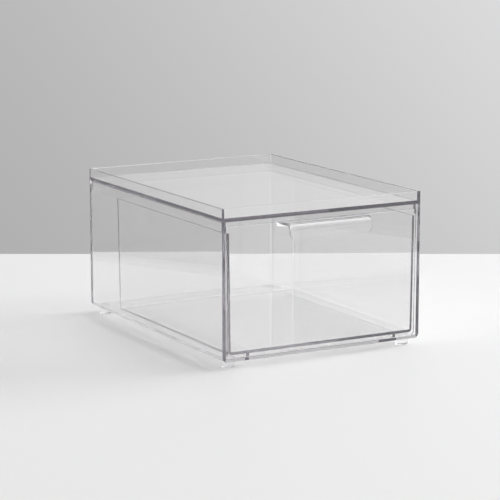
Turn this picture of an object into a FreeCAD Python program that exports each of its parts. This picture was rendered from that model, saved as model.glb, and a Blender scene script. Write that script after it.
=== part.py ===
import FreeCAD, Part
import os

import Sketcher

# Clear stackable drawer box, in millimetres: a case open at the front, a bonded top with a
# stacking rim, one drawer with a moulded lip pull, and four clear feet.
# X runs left to right as seen from the front, Y runs from the front to the back, and Z is up.
# The origin is the middle of the whole object's footprint, on the surface it stands on.

# Driving dimensions. Each can be changed by itself.
SIZES = {
    # Case body, outside and walls. The walls thicken towards the floor by the moulding draft.
    "case_width": 152.4,
    "case_depth": 203.2,
    "wall_height": 92.8,
    "case_wall": 2.0,
    "case_draft": 0.5,
    "case_floor": 2.0,
    "case_edge_radius": 3.6,
    "case_corner_radius": 2.0,
    "case_inner_radius": 1.5,
    # Case top: flat panel, stacking rim above it and locating skirt below it.
    "panel_thickness": 2.4,
    "rim_height": 6.4,
    "rim_wall": 2.0,
    "rim_lead_in": 0.6,
    "skirt_drop": 6.8,
    "skirt_wall": 1.8,
    "skirt_clearance": 0.1,
    "stop_gap": 0.2,
    # Drawer: tapered tray on two low glides, front plate and running clearances.
    "running_gap": 0.3,
    "tray_length": 163.0,
    "tray_draft": 1.1,
    "tray_side_gap": 2.0,
    "tray_top_gap": 0.8,
    "tray_wall": 1.6,
    "tray_floor": 1.6,
    "tray_corner_radius": 2.2,
    "tray_edge_radius": 2.2,
    "tray_inner_radius": 1.0,
    "glide_height": 2.0,
    "glide_width": 2.4,
    "glide_inset": 13.0,
    "glide_end_radius": 1.0,
    "plate_thickness": 2.2,
    "plate_side_gap": 1.0,
    "plate_draft": 0.7,
    "plate_top_gap": 3.1,
    "plate_corner_radius": 2.4,
    "plate_edge_radius": 0.5,
    # Lip pull: a bent tab that leaves the front plate's top edge.
    "lip_width": 72.0,
    "lip_taper": 4.5,
    "lip_reach": 11.0,
    "lip_drop": 10.6,
    "lip_wall": 2.0,
    "lip_bend_radius": 5.0,
    "lip_corner_radius": 4.5,
    "lip_root_radius": 1.2,
    # Feet
    "foot_diameter": 9.2,
    "foot_height": 5.0,
    "foot_inset": 8.4,
    "foot_taper": 0.3,
    "foot_edge_radius": 0.8,
    # How far a cutting shape runs past what it cuts.
    "overrun": 5.0,
}

doc = FreeCAD.newDocument("drawer_box")
sheet = doc.addObject("Spreadsheet::Sheet", "Sizes")
for row, (size_name, size_value) in enumerate(SIZES.items(), start=1):
    sheet.set(f"A{row}", size_name)
    sheet.set(f"B{row}", str(size_value))
    sheet.setAlias(f"B{row}", size_name)
doc.recompute()

# Working sizes, written in the driving ones and used in the expressions below.
FRONT_Y = "(Sizes.lip_reach - Sizes.case_depth) / 2"
HALF_WIDTH = "Sizes.case_width / 2"
INNER_TOP = "(Sizes.case_width / 2 - Sizes.case_wall)"
INNER_FOOT = "(Sizes.case_width / 2 - Sizes.case_wall - Sizes.case_draft)"
DRAWER_Z = "(Sizes.case_floor + Sizes.running_gap)"
SKIRT_OUT = "(Sizes.case_width / 2 - Sizes.case_wall - Sizes.skirt_clearance)"
SKIRT_IN = "(Sizes.case_width / 2 - Sizes.case_wall - Sizes.skirt_clearance - Sizes.skirt_wall)"
SKIRT_BACK = "(Sizes.case_depth - Sizes.case_wall - Sizes.skirt_clearance)"
SKIRT_FRONT = "(Sizes.plate_thickness + Sizes.stop_gap)"
TRAY_HEIGHT = f"(Sizes.wall_height - Sizes.skirt_drop - Sizes.tray_top_gap - {DRAWER_Z})"
TRAY_TOP = f"({INNER_TOP} - Sizes.tray_side_gap)"
TRAY_FOOT = f"({TRAY_TOP} - Sizes.tray_draft)"
PLATE_HEIGHT = f"(Sizes.wall_height - Sizes.plate_top_gap - {DRAWER_Z})"
PLATE_TOP = f"({INNER_TOP} - Sizes.plate_side_gap)"
PLATE_FOOT = f"({PLATE_TOP} - Sizes.plate_draft)"
LIP_HALF = "(Sizes.lip_width / 2)"
LIP_TIP = "(Sizes.lip_width / 2 - Sizes.lip_taper)"

TOLERANCE = SIZES["skirt_clearance"] / 10
STRAIGHT_SHARE = 0.95


def length(expression):
    """The plain number, in millimetres, that an expression comes to."""
    result = sheet.evalExpression(expression)
    return float(getattr(result, "Value", result))


def new_body(name, x="0", y="0", z="0"):
    """An empty body whose place follows three expressions."""
    body = doc.addObject("PartDesign::Body", name)
    body.Label = name
    for axis, expression in zip("xyz", (x, y, z)):
        body.setExpression(f"Placement.Base.{axis}", expression)
    return body


def origin_plane(body, role):
    for feature in body.Origin.OriginFeatures:
        if feature.Role == role:
            return feature
    raise RuntimeError(f"no {role} in {body.Label}")


def pin(sketch, kind, vertex, expression):
    """Tie one vertex's distance from the sketch's origin to an expression."""
    value = length(expression)
    if abs(value) < TOLERANCE:
        axis = -2 if kind == "DistanceX" else -1
        sketch.addConstraint(Sketcher.Constraint("PointOnObject", vertex, 1, axis))
        return
    index = sketch.addConstraint(Sketcher.Constraint(kind, -1, 1, vertex, 1, value))
    constraint_name = f"{kind}_{vertex}"
    sketch.renameConstraint(index, constraint_name)
    sketch.setExpression(f"Constraints.{constraint_name}", expression)


def outline(body, name, plane, loops, offset="0"):
    """A sketch of closed straight-sided loops, each corner given by two expressions."""
    sketch = body.newObject("Sketcher::SketchObject", name)
    sketch.AttachmentSupport = [(origin_plane(body, plane), "")]
    sketch.MapMode = "FlatFace"
    sketch.setExpression("AttachmentOffset.Base.z", offset)
    first = 0
    for corners in loops:
        places = [FreeCAD.Vector(length(across), length(up), 0) for across, up in corners]
        count = len(corners)
        for index in range(count):
            sketch.addGeometry(Part.LineSegment(places[index], places[(index + 1) % count]))
        for index in range(count):
            end = first + index
            start = first + (index + 1) % count
            sketch.addConstraint(Sketcher.Constraint("Coincident", end, 2, start, 1))
        for index, (across, up) in enumerate(corners):
            pin(sketch, "DistanceX", first + index, across)
            pin(sketch, "DistanceY", first + index, up)
        first += count
    doc.recompute()
    return sketch


def rectangle(half_width, near, far):
    """Corners of a rectangle centred on the sketch's vertical axis."""
    return [(f"-{half_width}", near), (half_width, near), (half_width, far), (f"-{half_width}", far)]


def settle(body, feature):
    """Recompute, and stop where a feature failed or left the body's shape invalid."""
    doc.recompute()
    if "Invalid" in feature.State or "Error" in feature.State or not body.Shape.isValid():
        raise RuntimeError(f"{feature.Label} failed in {body.Label}: {feature.State}")
    return feature


def volume(body):
    return body.Shape.Volume if body.Shape.Solids else 0


def pad(body, name, sketch, depth, reverse=False, midplane=False):
    feature = body.newObject("PartDesign::Pad", name)
    feature.Profile = sketch
    feature.setExpression("Length", depth)
    feature.Reversed = reverse
    feature.Midplane = midplane
    return settle(body, feature)


def pocket(body, name, sketch, depth, reverse=False):
    before = volume(body)
    feature = body.newObject("PartDesign::Pocket", name)
    feature.Profile = sketch
    feature.setExpression("Length", depth)
    feature.Reversed = reverse
    settle(body, feature)
    if volume(body) >= before:
        raise RuntimeError(f"{name} cut nothing from {body.Label}")
    return feature


def draft(body, name, angle, wanted, reverse=False):
    """Lean faces outwards as they rise, turning them about the body's own floor plane."""
    base = body.Tip
    faces = [f"Face{number}" for number, face in enumerate(base.Shape.Faces, start=1) if wanted(face)]
    if not faces:
        raise RuntimeError(f"{name} found no face in {body.Label}")
    feature = body.newObject("PartDesign::Draft", name)
    feature.Base = (base, faces)
    feature.NeutralPlane = (origin_plane(body, "XY_Plane"), [""])
    feature.setExpression("Angle", angle)
    feature.Reversed = reverse
    return settle(body, feature)


def fillet(body, name, radius, wanted):
    """Round every edge of the body's present shape that the test picks."""
    base = body.Tip
    edges = [f"Edge{number}" for number, edge in enumerate(base.Shape.Edges, start=1) if wanted(edge)]
    if not edges:
        raise RuntimeError(f"{name} found no edge in {body.Label}")
    feature = body.newObject("PartDesign::Fillet", name)
    feature.Base = (base, edges)
    feature.setExpression("Radius", radius)
    return settle(body, feature)


def runs(edge, axis):
    """True for a straight edge that runs along the named axis, draft apart."""
    if len(edge.Vertexes) < 2:
        return False
    reach = edge.Vertexes[1].Point - edge.Vertexes[0].Point
    return abs(getattr(reach, axis)) > STRAIGHT_SHARE * edge.Length


def facing(face, axis):
    """How far a flat face's outward normal points along the named axis, from -1 to 1."""
    if face.Surface.TypeId != "Part::GeomPlane":
        return 0
    return getattr(face.normalAt(0, 0), axis)


def at(edge, axis, place):
    """True when the edge lies wholly at one place along an axis, in the body's own frame."""
    low = getattr(edge.BoundBox, f"{axis.upper()}Min")
    high = getattr(edge.BoundBox, f"{axis.upper()}Max")
    return abs(low - place) < TOLERANCE and abs(high - place) < TOLERANCE


def middle(edge, axis):
    """The middle of an edge's extent along an axis."""
    low = getattr(edge.BoundBox, f"{axis.upper()}Min")
    high = getattr(edge.BoundBox, f"{axis.upper()}Max")
    return (low + high) / 2


def make_case_body():
    """Floor, two sides and a rear wall, moulded open at the top and at the front."""
    body = new_body("case_body", y=FRONT_Y, z="Sizes.foot_height")
    footprint = rectangle(f"({HALF_WIDTH})", "0", "Sizes.case_depth")
    block = outline(body, "case_outline", "XY_Plane", [footprint])
    pad(body, "case_block", block, "Sizes.wall_height")
    depth = length("Sizes.case_depth")
    fillet(
        body,
        "case_rear_corners",
        "Sizes.case_corner_radius",
        lambda edge: runs(edge, "z") and at(edge, "y", depth),
    )
    fillet(
        body,
        "case_lower_edges",
        "Sizes.case_edge_radius",
        lambda edge: at(edge, "z", 0) and not at(edge, "y", 0),
    )
    inside = outline(
        body,
        "case_inside_outline",
        "XY_Plane",
        [rectangle(INNER_FOOT, "-Sizes.overrun", "Sizes.case_depth - Sizes.case_wall - Sizes.case_draft")],
        "Sizes.wall_height",
    )
    pocket(body, "case_inside", inside, "Sizes.wall_height - Sizes.case_floor")
    half = length(HALF_WIDTH)
    draft(
        body,
        "case_inside_draft",
        "atan(Sizes.case_draft / Sizes.wall_height)",
        lambda face: (
            abs(facing(face, "x")) > STRAIGHT_SHARE and abs(face.CenterOfMass.x) < half - TOLERANCE
        ) or (
            facing(face, "y") < -STRAIGHT_SHARE and face.CenterOfMass.y > TOLERANCE
        ),
    )
    floor = length("Sizes.case_floor")
    fillet(
        body,
        "case_inner_corners",
        "Sizes.case_inner_radius",
        lambda edge: runs(edge, "z")
        and half / 2 < abs(middle(edge, "x")) < half - TOLERANCE
        and depth / 2 < middle(edge, "y") < depth - TOLERANCE
        and middle(edge, "z") > floor,
    )
    fillet(
        body,
        "case_inner_edges",
        "Sizes.case_inner_radius",
        lambda edge: at(edge, "z", floor) and not at(edge, "y", 0),
    )
    return body


def make_case_top():
    """Flat panel with the stacking rim above it and the locating skirt below it."""
    body = new_body("case_top", y=FRONT_Y, z="Sizes.foot_height + Sizes.wall_height")
    outside = rectangle(f"({HALF_WIDTH})", "0", "Sizes.case_depth")
    rim_inside = f"({HALF_WIDTH} - Sizes.rim_wall)"
    recess = rectangle(rim_inside, "Sizes.rim_wall", "Sizes.case_depth - Sizes.rim_wall")
    panel = outline(body, "panel_outline", "XY_Plane", [outside])
    pad(body, "panel", panel, "Sizes.panel_thickness")
    rim = outline(body, "rim_outline", "XY_Plane", [outside, recess], "Sizes.panel_thickness")
    pad(body, "rim", rim, "Sizes.rim_height")
    depth = length("Sizes.case_depth")
    fillet(
        body,
        "top_rear_corners",
        "Sizes.case_corner_radius",
        lambda edge: runs(edge, "z") and at(edge, "y", depth),
    )
    rim_top = length("Sizes.panel_thickness + Sizes.rim_height")
    side = length(rim_inside)
    near = length("Sizes.rim_wall")
    far = length("Sizes.case_depth - Sizes.rim_wall")
    fillet(
        body,
        "rim_lead_in",
        "Sizes.rim_lead_in",
        lambda edge: at(edge, "z", rim_top)
        and (at(edge, "x", side) or at(edge, "x", -side) or at(edge, "y", near) or at(edge, "y", far)),
    )
    skirt = outline(
        body,
        "skirt_outline",
        "XY_Plane",
        [
            [
                (f"-{SKIRT_OUT}", SKIRT_FRONT),
                (f"-{SKIRT_IN}", SKIRT_FRONT),
                (f"-{SKIRT_IN}", f"{SKIRT_BACK} - Sizes.skirt_wall"),
                (SKIRT_IN, f"{SKIRT_BACK} - Sizes.skirt_wall"),
                (SKIRT_IN, SKIRT_FRONT),
                (SKIRT_OUT, SKIRT_FRONT),
                (SKIRT_OUT, SKIRT_BACK),
                (f"-{SKIRT_OUT}", SKIRT_BACK),
            ]
        ],
    )
    pad(body, "skirt", skirt, "Sizes.skirt_drop", reverse=True)
    back = length(SKIRT_BACK)
    fillet(
        body,
        "skirt_rear_corners",
        "Sizes.case_inner_radius",
        lambda edge: runs(edge, "z") and middle(edge, "z") < 0 and at(edge, "y", back),
    )
    return body


def make_drawer():
    """Tapered tray on two glides, closed at the front by a wider plate that carries the lip pull."""
    body = new_body("drawer", y=FRONT_Y, z=f"Sizes.foot_height + {DRAWER_Z}")
    footprint = outline(
        body,
        "tray_outline",
        "XY_Plane",
        [rectangle(TRAY_FOOT, "Sizes.plate_thickness", "Sizes.tray_length - Sizes.tray_draft")],
        "Sizes.glide_height",
    )
    pad(body, "tray", footprint, f"{TRAY_HEIGHT} - Sizes.glide_height")
    draft(
        body,
        "tray_draft",
        f"atan(Sizes.tray_draft / {TRAY_HEIGHT})",
        lambda face: abs(facing(face, "x")) > STRAIGHT_SHARE or facing(face, "y") > STRAIGHT_SHARE,
        reverse=True,
    )
    plate_back = length("Sizes.plate_thickness")
    rear_half = length("Sizes.tray_length / 2")
    underside = length("Sizes.glide_height")
    fillet(
        body,
        "tray_rear_corners",
        "Sizes.tray_corner_radius",
        lambda edge: runs(edge, "z") and middle(edge, "y") > rear_half,
    )
    fillet(
        body,
        "tray_lower_edges",
        "Sizes.tray_edge_radius",
        lambda edge: at(edge, "z", underside) and not at(edge, "y", plate_back),
    )
    plate = outline(
        body,
        "plate_outline",
        "XZ_Plane",
        [
            [
                (f"-{PLATE_FOOT}", "0"),
                (PLATE_FOOT, "0"),
                (PLATE_TOP, PLATE_HEIGHT),
                (f"-{PLATE_TOP}", PLATE_HEIGHT),
            ]
        ],
        "-Sizes.plate_thickness",
    )
    pad(body, "front_plate", plate, "Sizes.plate_thickness")
    plate_half = length(PLATE_FOOT)
    plate_top = length(PLATE_HEIGHT)
    fillet(
        body,
        "plate_lower_corners",
        "Sizes.plate_corner_radius",
        lambda edge: runs(edge, "y") and (at(edge, "x", plate_half) or at(edge, "x", -plate_half)),
    )
    fillet(
        body,
        "plate_front_edges",
        "Sizes.plate_edge_radius",
        lambda edge: at(edge, "y", 0) and middle(edge, "z") < plate_top - TOLERANCE,
    )
    inside = outline(
        body,
        "tray_inside_outline",
        "XY_Plane",
        [
            rectangle(
                f"({TRAY_FOOT} - Sizes.tray_wall)",
                "Sizes.plate_thickness",
                "Sizes.tray_length - Sizes.tray_draft - Sizes.tray_wall",
            )
        ],
        TRAY_HEIGHT,
    )
    pocket(body, "tray_inside", inside, f"{TRAY_HEIGHT} - Sizes.glide_height - Sizes.tray_floor")
    foot_half = length(TRAY_FOOT)
    draft(
        body,
        "tray_inside_draft",
        f"atan(Sizes.tray_draft / {TRAY_HEIGHT})",
        lambda face: (abs(facing(face, "x")) > STRAIGHT_SHARE and abs(face.CenterOfMass.x) < foot_half)
        or (facing(face, "y") < -STRAIGHT_SHARE and face.CenterOfMass.y > rear_half),
    )
    floor = length("Sizes.glide_height + Sizes.tray_floor")
    inside_half = length(f"{TRAY_TOP} - Sizes.tray_wall")
    inside_back = length("Sizes.tray_length - Sizes.tray_wall")
    fillet(
        body,
        "tray_inner_corners",
        "Sizes.tray_inner_radius",
        lambda edge: runs(edge, "z")
        and rear_half < middle(edge, "y") < inside_back
        and abs(middle(edge, "x")) < inside_half,
    )
    fillet(
        body,
        "tray_inner_edges",
        "Sizes.tray_inner_radius",
        lambda edge: at(edge, "z", floor),
    )
    add_glides(body)
    add_lip(body)
    return body


def add_glides(body):
    """Two low glides on the tray's underside, which run from the front plate towards the rear."""
    far = "Sizes.tray_length - Sizes.glide_inset"
    outer = f"({TRAY_FOOT} - Sizes.glide_inset)"
    inner = f"({TRAY_FOOT} - Sizes.glide_inset - Sizes.glide_width)"
    glides = outline(
        body,
        "glide_outline",
        "XY_Plane",
        [
            [(near, "Sizes.plate_thickness"), (away, "Sizes.plate_thickness"), (away, far), (near, far)]
            for near, away in ((inner, outer), (f"-{outer}", f"-{inner}"))
        ],
    )
    pad(body, "glides", glides, "Sizes.glide_height")
    rear = length(far)
    fillet(
        body,
        "glide_ends",
        "Sizes.glide_end_radius",
        lambda edge: runs(edge, "z") and at(edge, "y", rear),
    )


def add_lip(body):
    """The pull: a tab bent forward and down from the plate's top edge, narrower at its tip."""
    profile = outline(
        body,
        "lip_profile",
        "YZ_Plane",
        [
            [
                ("0", PLATE_HEIGHT),
                ("-Sizes.lip_reach", PLATE_HEIGHT),
                ("-Sizes.lip_reach", f"{PLATE_HEIGHT} - Sizes.lip_drop"),
                ("Sizes.lip_wall - Sizes.lip_reach", f"{PLATE_HEIGHT} - Sizes.lip_drop"),
                ("Sizes.lip_wall - Sizes.lip_reach", f"{PLATE_HEIGHT} - Sizes.lip_wall"),
                ("0", f"{PLATE_HEIGHT} - Sizes.lip_wall"),
            ]
        ],
    )
    pad(body, "lip", profile, "Sizes.lip_width", midplane=True)
    top = length(PLATE_HEIGHT)
    wall = length("Sizes.lip_wall")
    tip = -length("Sizes.lip_reach")
    bottom = top - length("Sizes.lip_drop")
    fillet(
        body,
        "lip_bend_outside",
        "Sizes.lip_bend_radius",
        lambda edge: runs(edge, "x") and at(edge, "y", tip) and at(edge, "z", top),
    )
    fillet(
        body,
        "lip_bend_inside",
        "Sizes.lip_bend_radius - Sizes.lip_wall",
        lambda edge: runs(edge, "x") and at(edge, "y", tip + wall) and at(edge, "z", top - wall),
    )
    trim = outline(
        body,
        "lip_trim_outline",
        "XY_Plane",
        [
            [
                (f"-{LIP_HALF}", "0"),
                (f"-{LIP_TIP}", "Sizes.lip_bend_radius - Sizes.lip_reach"),
                (f"-{LIP_TIP}", "-Sizes.lip_reach - Sizes.overrun"),
                (f"-({LIP_HALF} + Sizes.overrun)", "-Sizes.lip_reach - Sizes.overrun"),
                (f"-({LIP_HALF} + Sizes.overrun)", "0"),
            ],
            [
                (LIP_HALF, "0"),
                (LIP_TIP, "Sizes.lip_bend_radius - Sizes.lip_reach"),
                (LIP_TIP, "-Sizes.lip_reach - Sizes.overrun"),
                (f"({LIP_HALF} + Sizes.overrun)", "-Sizes.lip_reach - Sizes.overrun"),
                (f"({LIP_HALF} + Sizes.overrun)", "0"),
            ],
        ],
        f"{PLATE_HEIGHT} + Sizes.overrun",
    )
    pocket(body, "lip_trim", trim, "Sizes.lip_drop + 2 * Sizes.overrun")
    fillet(
        body,
        "lip_corners",
        "Sizes.lip_corner_radius",
        lambda edge: runs(edge, "y") and at(edge, "z", bottom),
    )
    fillet(
        body,
        "lip_root",
        "Sizes.lip_root_radius",
        lambda edge: runs(edge, "x") and at(edge, "y", 0) and at(edge, "z", top - wall),
    )


def make_foot(name, side, end_y):
    """A short round foot, drawn in a little towards its rounded lower edge."""
    body = new_body(name, x=f"{side} * (Sizes.case_width / 2 - Sizes.foot_inset)", y=end_y)
    profile = outline(
        body,
        f"{name}_profile",
        "XZ_Plane",
        [
            [
                ("0", "0"),
                ("Sizes.foot_diameter / 2 - Sizes.foot_taper", "0"),
                ("Sizes.foot_diameter / 2", "Sizes.foot_height"),
                ("0", "Sizes.foot_height"),
            ]
        ],
    )
    turn = body.newObject("PartDesign::Revolution", f"{name}_turn")
    turn.Profile = profile
    turn.ReferenceAxis = (profile, ["V_Axis"])
    doc.recompute()
    fillet(body, f"{name}_edge", "Sizes.foot_edge_radius", lambda edge: at(edge, "z", 0))
    return body


parts = [make_case_body(), make_case_top(), make_drawer()]
front_foot_y = f"{FRONT_Y} + Sizes.foot_inset"
rear_foot_y = f"{FRONT_Y} + Sizes.case_depth - Sizes.foot_inset"
for end, foot_y in (("front", front_foot_y), ("rear", rear_foot_y)):
    for hand, side in (("left", -1), ("right", 1)):
        parts.append(make_foot(f"foot_{end}_{hand}", side, foot_y))

doc.recompute()
for item in doc.Objects:
    if "Invalid" in item.State or "Error" in item.State:
        raise RuntimeError(f"{item.Label} failed: {item.State}")
os.makedirs("parts", exist_ok=True)
for part in parts:
    shape = part.Shape
    if shape.isNull() or not shape.isValid() or len(shape.Solids) != 1:
        raise RuntimeError(f"{part.Label} is not one valid solid")
    shape.exportStep(f"parts/{part.Label}.step")
    box = shape.BoundBox
    print(part.Label, "volume", round(shape.Volume), "x", round(box.XMin, 2), round(box.XMax, 2),
          "y", round(box.YMin, 2), round(box.YMax, 2), "z", round(box.ZMin, 2), round(box.ZMax, 2))
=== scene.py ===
import math

import bmesh
import bpy
from bpy.props import FloatProperty, FloatVectorProperty, IntProperty, PointerProperty
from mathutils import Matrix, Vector


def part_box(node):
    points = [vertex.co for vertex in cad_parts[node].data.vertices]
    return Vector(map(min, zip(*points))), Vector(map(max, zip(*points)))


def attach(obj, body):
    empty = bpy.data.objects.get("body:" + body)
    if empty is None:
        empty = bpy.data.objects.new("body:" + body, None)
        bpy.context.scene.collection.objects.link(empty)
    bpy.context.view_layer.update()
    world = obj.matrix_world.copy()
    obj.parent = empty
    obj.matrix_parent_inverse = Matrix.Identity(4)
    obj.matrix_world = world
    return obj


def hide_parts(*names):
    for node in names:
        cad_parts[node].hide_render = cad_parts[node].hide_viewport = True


bl_info = {
    "name": "Clear Stackable Drawer Box",
    "version": (1, 0, 0),
    "blender": (4, 5, 0),
    "location": "View3D > Sidebar > Drawer Box",
    "description": "Moulded finish, edges and studio for a clear stackable drawer box",
    "category": "Object",
}

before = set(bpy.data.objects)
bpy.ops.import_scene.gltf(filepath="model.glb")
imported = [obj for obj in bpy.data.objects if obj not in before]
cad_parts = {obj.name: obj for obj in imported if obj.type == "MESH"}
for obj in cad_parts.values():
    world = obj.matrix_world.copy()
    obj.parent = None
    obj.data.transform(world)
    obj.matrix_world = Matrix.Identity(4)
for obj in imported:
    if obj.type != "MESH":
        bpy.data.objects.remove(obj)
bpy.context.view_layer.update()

# Lengths are metres in the frame. One millimetre, for the sizes that read better in it.
MM = 0.001

# Where the camera stood, worked out from the box's corners, and what it sees.
VIEW_YAW = math.radians(29.164)
VIEW_DROP = math.radians(10.759)
CAMERA_PLACE = Vector((-0.72005, -1.28633, 0.33718))
CAMERA_SENSOR = 36 * MM
CAMERA_LENS_SHARE = 2138.5 / 500
CAMERA_NEAR = 50 * MM
CAMERA_FAR = 50000 * MM

# The floor is a board: how far it runs behind the box and to its left as the camera sees it, and elsewhere.
BOARD_BEHIND = 282.6 * MM
BOARD_LEFT = 280 * MM
BOARD_REACH = 6000 * MM

# Thickness of the case's floor, whose front edge has a finish of its own.
CASE_FLOOR = 2 * MM

# Meeting faces of separate mouldings are drawn this far apart, so that light crosses each one once.
CONTACT_GAP = 0.03 * MM

# Points nearer than this become one, and so do faces that turn less than this.
MERGE_DISTANCE = 0.02 * MM
FLAT_ANGLE = math.radians(0.05)

# Edges that turn more than this are rounded. A rounded edge's section is a plain arc, and a wall's
# shading follows its largest faces.
SHARP_ANGLE = math.radians(35)
ARC_PROFILE = 0.5
LARGEST_FACES = 100

# The waves in a wall are broad, with little fine detail in them.
WAVE_DETAIL = 1.0
WAVE_ROUGHNESS = 0.4

# How often light may turn: it crosses a dozen clear walls, and is trapped for long in thick edges.
CLEAR_BOUNCES = 128
MATT_BOUNCES = 12
OPEN_CROSSINGS = 16


def linear(hex_colour):
    """An sRGB hex colour as linear red, green, blue and a full alpha."""
    channels = [int(hex_colour[i : i + 2], 16) / 255 for i in (1, 3, 5)]
    return [c / 12.92 if c <= 0.04045 else ((c + 0.055) / 1.055) ** 2.4 for c in channels] + [1.0]


def add_node(tree, kind, inputs=None, **settings):
    """Add one node. Settings are its properties; inputs are socket values, or sockets to link from."""
    node = tree.nodes.new(kind)
    for key, value in settings.items():
        setattr(node, key, value)
    for key, value in (inputs or {}).items():
        if isinstance(value, bpy.types.NodeSocket):
            tree.links.new(value, node.inputs[key])
        else:
            node.inputs[key].default_value = value
    return node


def new_material(name):
    """An empty node material and its output."""
    material = bpy.data.materials.new(name)
    material.use_nodes = True
    material.node_tree.nodes.clear()
    output = add_node(material.node_tree, "ShaderNodeOutputMaterial")
    return material, material.node_tree, output


class DrawerBoxFinish(bpy.types.PropertyGroup):
    """Sizes and colours of the mouldings."""

    edge_round: FloatProperty(
        name="Edge Round",
        description="Radius left by the tool on every edge that the drawing leaves sharp",
        default=0.3 * MM,
        min=0.0,
        unit="LENGTH",
    )
    edge_steps: IntProperty(
        name="Edge Steps",
        description="Faces across each rounded edge",
        default=3,
        min=1,
    )
    refraction: FloatProperty(
        name="Refraction Index",
        description="How strongly the clear plastic bends light",
        default=1.57,
        min=1.0,
    )
    tint: FloatVectorProperty(
        name="Depth Tint",
        description="Colour that the plastic takes on where light runs lengthwise through a wall",
        default=linear("#ADA8B2")[:3],
        subtype="COLOR",
        min=0.0,
        max=1.0,
    )
    tint_density: FloatProperty(
        name="Tint Density",
        description="How quickly light takes on the tint, per metre",
        default=9.5,
        min=0.0,
    )
    top_density: FloatProperty(
        name="Top Tint Density",
        description="The same for the case's top, the darkest of the mouldings seen edge on",
        default=11.5,
        min=0.0,
    )
    foot_haze: FloatProperty(
        name="Foot Haze",
        description="How far the feet are from full polish",
        default=0.08,
        min=0.0,
        max=1.0,
    )
    edge_haze: FloatProperty(
        name="Trimmed Edge Haze",
        description="How matt the front edge of the case's floor is where its gate was trimmed off",
        default=0.55,
        min=0.0,
        max=1.0,
    )
    edge_runs: FloatVectorProperty(
        name="Trimmed Edge Runs",
        description="Where along the width each of the matt edge's three runs starts and ends",
        size=6,
        default=(-74 * MM, -59.5 * MM, -56.5 * MM, 44 * MM, 58 * MM, 74 * MM),
        unit="LENGTH",
    )
    wave_size: FloatProperty(
        name="Wave Size",
        description="Spacing of the shallow waves in a moulded wall",
        default=38 * MM,
        min=1 * MM,
        unit="LENGTH",
    )
    wave_depth: FloatProperty(
        name="Wave Depth",
        description="Depth of the shallow waves in a moulded wall",
        default=0.02 * MM,
        min=0.0,
        unit="LENGTH",
    )
    clearness: FloatProperty(
        name="Clearness",
        description="Share of the light at a surface that isn't scattered by its haze",
        default=0.993,
        min=0.0,
        max=1.0,
    )


class DrawerBoxStudio(bpy.types.PropertyGroup):
    """Floor and light."""

    floor_colour: FloatVectorProperty(
        name="Floor Colour",
        description="Colour of the plain floor",
        default=linear("#F4F4F4")[:3],
        subtype="COLOR",
        min=0.0,
        max=1.0,
    )
    floor_roughness: FloatProperty(
        name="Floor Roughness",
        description="How matt the floor's paint is",
        default=0.5,
        min=0.0,
        max=1.0,
    )
    floor_gloss: FloatProperty(
        name="Floor Gloss",
        description="How strong the paint's faint sheen is",
        default=0.3,
        min=0.0,
        max=1.0,
    )
    key_power: FloatProperty(
        name="Key Power",
        description="Power of the large soft lamp on the right, in watts",
        default=80.0,
        min=0.0,
    )
    key_size: FloatVectorProperty(
        name="Key Size",
        description="Width and height of the soft lamp",
        size=2,
        default=(2.2, 1.8),
        unit="LENGTH",
    )
    key_place: FloatVectorProperty(
        name="Key Place",
        description="Where the soft lamp stands",
        default=(3.0, -0.32, 1.45),
        subtype="XYZ",
        unit="LENGTH",
    )
    key_aim: FloatVectorProperty(
        name="Key Aim",
        description="What the soft lamp points at: the middle of the box",
        default=(0, 0, 50 * MM),
        subtype="XYZ",
        unit="LENGTH",
    )
    room_dark: FloatProperty(
        name="Dark Side",
        description="Strength of the room's light on its darkest side",
        default=0.42,
        min=0.0,
    )
    room_bright: FloatProperty(
        name="Bright Side",
        description="Strength of the room's light on its brightest side",
        default=1.07,
        min=0.0,
    )
    room_lean: FloatVectorProperty(
        name="Bright Direction",
        description="Where the room grows brighter: to the right and above",
        default=(1.59, 0.11, 0.95),
        subtype="XYZ",
    )
    room_fade: FloatVectorProperty(
        name="Fade",
        description="Where along the bright direction the room starts and stops growing brighter",
        size=2,
        default=(0.4, 1.585),
    )


def trimmed_share(tree, place, low, high, runs):
    """One on the runs of the trimmed front edge that lies between two corners, and nought elsewhere."""
    parts = add_node(tree, "ShaderNodeSeparateXYZ", {"Vector": place}).outputs
    share = 0.0
    for start, end in zip(runs[::2], runs[1::2]):
        run = add_node(
            tree,
            "ShaderNodeMath",
            {0: parts["X"], 1: (start + end) / 2, 2: (end - start) / 2},
            operation="COMPARE",
        )
        both = add_node(tree, "ShaderNodeMath", {0: share, 1: run.outputs["Value"]}, operation="ADD")
        share = both.outputs["Value"]
    for axis, start, end in (("Y", low.y, high.y), ("Z", low.z, high.z)):
        face = add_node(
            tree,
            "ShaderNodeMath",
            {0: parts[axis], 1: (start + end) / 2, 2: (end - start) / 2},
            operation="COMPARE",
        )
        both = add_node(tree, "ShaderNodeMath", {0: share, 1: face.outputs["Value"]}, operation="MULTIPLY")
        share = both.outputs["Value"]
    return share


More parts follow.
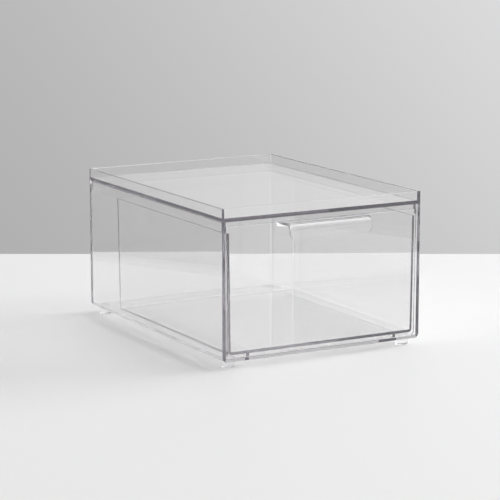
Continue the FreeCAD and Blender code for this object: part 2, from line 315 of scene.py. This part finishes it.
def moulded_clear(name, finish, haze=0.0, density=None, trimmed=None):
    """Injection-moulded clear styrene: glossy, with shallow waves from the tool and a grey-violet depth."""
    # To the eye: walls that nearly vanish face on, crisp reflections that wander a little along them,
    # and grey lines with a bright rim wherever a wall is seen edge on.
    material, tree, output = new_material(name)
    place = add_node(tree, "ShaderNodeTexCoord").outputs["Object"]
    waves = add_node(
        tree,
        "ShaderNodeTexNoise",
        {
            "Vector": place,
            "Scale": 1 / finish.wave_size,
            "Detail": WAVE_DETAIL,
            "Roughness": WAVE_ROUGHNESS,
        },
    )
    bump = add_node(
        tree,
        "ShaderNodeBump",
        {"Height": waves.outputs["Fac"], "Distance": finish.wave_depth, "Strength": 1.0},
    )
    plastic = add_node(
        tree,
        "ShaderNodeBsdfPrincipled",
        {
            "Base Color": linear("#FFFFFF"),
            "Roughness": haze,
            "IOR": finish.refraction,
            "Transmission Weight": finish.clearness,
            "Normal": bump.outputs["Normal"],
        },
    )
    if trimmed is not None:
        # To the eye: a pale, faint line where the rest of the edge would be dark.
        mask = trimmed_share(tree, place, *trimmed, list(finish.edge_runs))
        for socket, plain, matt in (
            ("Roughness", haze, finish.edge_haze),
            ("Transmission Weight", finish.clearness, 1 - finish.edge_haze),
        ):
            blend = add_node(tree, "ShaderNodeMapRange", {"Value": mask, "To Min": plain, "To Max": matt})
            tree.links.new(blend.outputs["Result"], plastic.inputs[socket])
    depth = add_node(
        tree,
        "ShaderNodeVolumeAbsorption",
        {"Color": list(finish.tint) + [1.0], "Density": density or finish.tint_density},
    )
    tree.links.new(plastic.outputs["BSDF"], output.inputs["Surface"])
    tree.links.new(depth.outputs["Volume"], output.inputs["Volume"])
    return material


def sharp_runs(body):
    """The outward sharp edges, in runs of edges that meet, so that each is rounded as its room allows."""
    left = dict.fromkeys(
        edge
        for edge in body.edges
        if edge.is_manifold and edge.is_convex and edge.calc_face_angle() > SHARP_ANGLE
    )
    runs = []
    while left:
        run, queue = [], [left.popitem()[0]]
        while queue:
            edge = queue.pop()
            run.append(edge)
            for vertex in edge.verts:
                for neighbour in vertex.link_edges:
                    if neighbour in left:
                        del left[neighbour]
                        queue.append(neighbour)
        runs.append(run)
    return runs


def moulded_copy(node, name, finish, seat_height=None):
    """A piece with the node's own shape whose sharp edges are rounded as a polished tool leaves them."""
    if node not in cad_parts:
        raise RuntimeError(f"The frame has no {node}")
    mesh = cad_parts[node].data.copy()
    mesh.name = name
    body = bmesh.new()
    body.from_mesh(mesh)
    bmesh.ops.remove_doubles(body, verts=body.verts, dist=MERGE_DISTANCE)
    bmesh.ops.dissolve_limit(body, angle_limit=FLAT_ANGLE, verts=body.verts, edges=body.edges)
    if seat_height is not None:
        for vertex in body.verts:
            if abs(vertex.co.z - seat_height) < CONTACT_GAP:
                vertex.co.z -= CONTACT_GAP
    for run in sharp_runs(body):
        bmesh.ops.bevel(
            body,
            geom=run,
            offset=finish.edge_round,
            offset_type="OFFSET",
            segments=finish.edge_steps,
            profile=ARC_PROFILE,
            affect="EDGES",
            clamp_overlap=True,
        )
    body.normal_update()
    for face in body.faces:
        face.smooth = True
    for edge in body.edges:
        edge.smooth = edge.calc_face_angle(0) < SHARP_ANGLE
    body.to_mesh(mesh)
    body.free()
    mesh.materials.clear()
    piece = bpy.data.objects.new(name, mesh)
    bpy.context.scene.collection.objects.link(piece)
    shading = piece.modifiers.new("Flat walls", "WEIGHTED_NORMAL")
    shading.mode = "FACE_AREA"
    shading.weight = LARGEST_FACES
    shading.keep_sharp = True
    return piece


def dress(piece, material, body, slot, *nodes):
    """Give a piece its material, its body and the nodes that it stands for."""
    piece.data.materials.append(material)
    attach(piece, body)
    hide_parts(*nodes)


class DRAWERBOX_OT_case(bpy.types.Operator):
    """Make the case body and the bonded top"""

    bl_idname = "drawer_box.case"
    bl_label = "Make Case"

    def execute(self, context):
        finish = context.scene.drawer_box_finish
        low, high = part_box("case_body")
        edge = (
            low - Vector((0, CONTACT_GAP, CONTACT_GAP)),
            low + Vector((0, CONTACT_GAP, CASE_FLOOR)),
        )
        clear = moulded_clear("Moulded clear styrene, case body", finish, trimmed=edge)
        shell = moulded_copy("case_body", "clear_case_body", finish, seat_height=high.z)
        dress(shell, clear, "case", "clear_case", "case_body")
        # To the eye: the same clear plastic, whose long thick edges read darkest.
        clear = moulded_clear("Moulded clear styrene, case top", finish, density=finish.top_density)
        top = moulded_copy("case_top", "clear_case_top", finish)
        dress(top, clear, "case", "clear_top", "case_top")
        return {"FINISHED"}


class DRAWERBOX_OT_drawer(bpy.types.Operator):
    """Make the drawer with its front plate and lip pull"""

    bl_idname = "drawer_box.drawer"
    bl_label = "Make Drawer"

    def execute(self, context):
        finish = context.scene.drawer_box_finish
        clear = moulded_clear("Moulded clear styrene, drawer", finish)
        drawer = moulded_copy("drawer", "clear_drawer", finish)
        dress(drawer, clear, "drawer", "clear_drawer", "drawer")
        return {"FINISHED"}


class DRAWERBOX_OT_feet(bpy.types.Operator):
    """Make the four feet"""

    bl_idname = "drawer_box.feet"
    bl_label = "Make Feet"

    def execute(self, context):
        finish = context.scene.drawer_box_finish
        # To the eye: small blurred discs, softer than the walls above them.
        clear = moulded_clear("Moulded clear styrene, feet", finish, haze=finish.foot_haze)
        feet = sorted(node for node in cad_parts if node.startswith("foot_"))
        if not feet:
            raise RuntimeError("The frame has no feet")
        for node in feet:
            foot = moulded_copy(node, "clear_" + node, finish, seat_height=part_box(node)[1].z)
            dress(foot, clear, "case", "clear_foot", node)
        return {"FINISHED"}


class DRAWERBOX_OT_stage(bpy.types.Operator):
    """Make the floor, the light and the camera"""

    bl_idname = "drawer_box.stage"
    bl_label = "Make Stage"

    def execute(self, context):
        studio = context.scene.drawer_box_studio
        self.make_floor(context, studio)
        self.make_light(context, studio)
        self.make_camera(context)
        return {"FINISHED"}

    def make_floor(self, context, studio):
        across = Vector((math.cos(VIEW_YAW), -math.sin(VIEW_YAW), 0))
        along = Vector((math.sin(VIEW_YAW), math.cos(VIEW_YAW), 0))
        corners = [
            across * side + along * depth
            for side, depth in (
                (-BOARD_LEFT, -BOARD_REACH),
                (BOARD_REACH, -BOARD_REACH),
                (BOARD_REACH, BOARD_BEHIND),
                (-BOARD_LEFT, BOARD_BEHIND),
            )
        ]
        mesh = bpy.data.meshes.new("floor")
        mesh.from_pydata(corners, [], [(0, 1, 2, 3)])
        floor = bpy.data.objects.new("floor", mesh)
        context.scene.collection.objects.link(floor)
        # To the eye: an even pale surface with a faint broad sheen, which takes the box's soft shadow.
        material, tree, output = new_material("Satin painted board, floor")
        paint = add_node(
            tree,
            "ShaderNodeBsdfPrincipled",
            {
                "Base Color": list(studio.floor_colour) + [1.0],
                "Roughness": studio.floor_roughness,
                "Specular IOR Level": studio.floor_gloss,
            },
        )
        tree.links.new(paint.outputs["BSDF"], output.inputs["Surface"])
        mesh.materials.append(material)

    def make_light(self, context, studio):
        lamp = bpy.data.lights.new("key softbox", "AREA")
        lamp.shape = "RECTANGLE"
        lamp.size, lamp.size_y = studio.key_size
        lamp.energy = studio.key_power
        key = bpy.data.objects.new("key softbox", lamp)
        key.location = studio.key_place
        aim = Vector(studio.key_aim) - key.location
        key.rotation_euler = aim.to_track_quat("-Z", "Y").to_euler()
        context.scene.collection.objects.link(key)
        world = bpy.data.worlds.new("room")
        context.scene.world = world
        world.use_nodes = True
        tree = world.node_tree
        tree.nodes.clear()
        way = add_node(tree, "ShaderNodeTexCoord").outputs["Generated"]
        lean = add_node(
            tree, "ShaderNodeVectorMath", {0: way, 1: studio.room_lean}, operation="DOT_PRODUCT"
        )
        strength = add_node(
            tree,
            "ShaderNodeMapRange",
            {
                "Value": lean.outputs["Value"],
                "From Min": studio.room_fade[0],
                "From Max": studio.room_fade[1],
                "To Min": studio.room_dark,
                "To Max": studio.room_bright,
            },
            interpolation_type="SMOOTHSTEP",
        )
        room = add_node(
            tree,
            "ShaderNodeBackground",
            {"Color": linear("#FFFFFF"), "Strength": strength.outputs["Result"]},
        )
        add_node(tree, "ShaderNodeOutputWorld", {"Surface": room.outputs["Background"]})

    def make_camera(self, context):
        lens = bpy.data.cameras.new("camera")
        lens.sensor_width = CAMERA_SENSOR / MM
        lens.lens = CAMERA_LENS_SHARE * lens.sensor_width
        lens.clip_start = CAMERA_NEAR
        lens.clip_end = CAMERA_FAR
        camera = bpy.data.objects.new("camera", lens)
        camera.location = CAMERA_PLACE
        camera.rotation_euler = (math.pi / 2 - VIEW_DROP, 0, -VIEW_YAW)
        context.scene.collection.objects.link(camera)
        context.scene.camera = camera
        context.scene.view_settings.view_transform = "Standard"
        cycles = context.scene.cycles
        cycles.blur_glossy = 0.0
        cycles.max_bounces = CLEAR_BOUNCES
        cycles.transmission_bounces = CLEAR_BOUNCES
        cycles.glossy_bounces = CLEAR_BOUNCES
        cycles.diffuse_bounces = MATT_BOUNCES
        cycles.transparent_max_bounces = OPEN_CROSSINGS


class DRAWERBOX_PT_sidebar(bpy.types.Panel):
    """The pieces and their finish"""

    bl_idname = "DRAWERBOX_PT_sidebar"
    bl_label = "Drawer Box"
    bl_space_type = "VIEW_3D"
    bl_region_type = "UI"
    bl_category = "Drawer Box"

    def draw(self, context):
        for group in (context.scene.drawer_box_finish, context.scene.drawer_box_studio):
            for key in group.bl_rna.properties.keys():
                if key not in ("rna_type", "name"):
                    self.layout.prop(group, key)
        for operator in OPERATORS:
            self.layout.operator(operator.bl_idname)


OPERATORS = (DRAWERBOX_OT_case, DRAWERBOX_OT_drawer, DRAWERBOX_OT_feet, DRAWERBOX_OT_stage)
CLASSES = (DrawerBoxFinish, DrawerBoxStudio, *OPERATORS, DRAWERBOX_PT_sidebar)


def register():
    for item in CLASSES:
        bpy.utils.register_class(item)
    bpy.types.Scene.drawer_box_finish = PointerProperty(type=DrawerBoxFinish)
    bpy.types.Scene.drawer_box_studio = PointerProperty(type=DrawerBoxStudio)


def unregister():
    del bpy.types.Scene.drawer_box_finish
    del bpy.types.Scene.drawer_box_studio
    for item in reversed(CLASSES):
        bpy.utils.unregister_class(item)


def main():
    register()
    bpy.ops.drawer_box.case()
    bpy.ops.drawer_box.drawer()
    bpy.ops.drawer_box.feet()
    bpy.ops.drawer_box.stage()


if __name__ == "__main__":
    main()
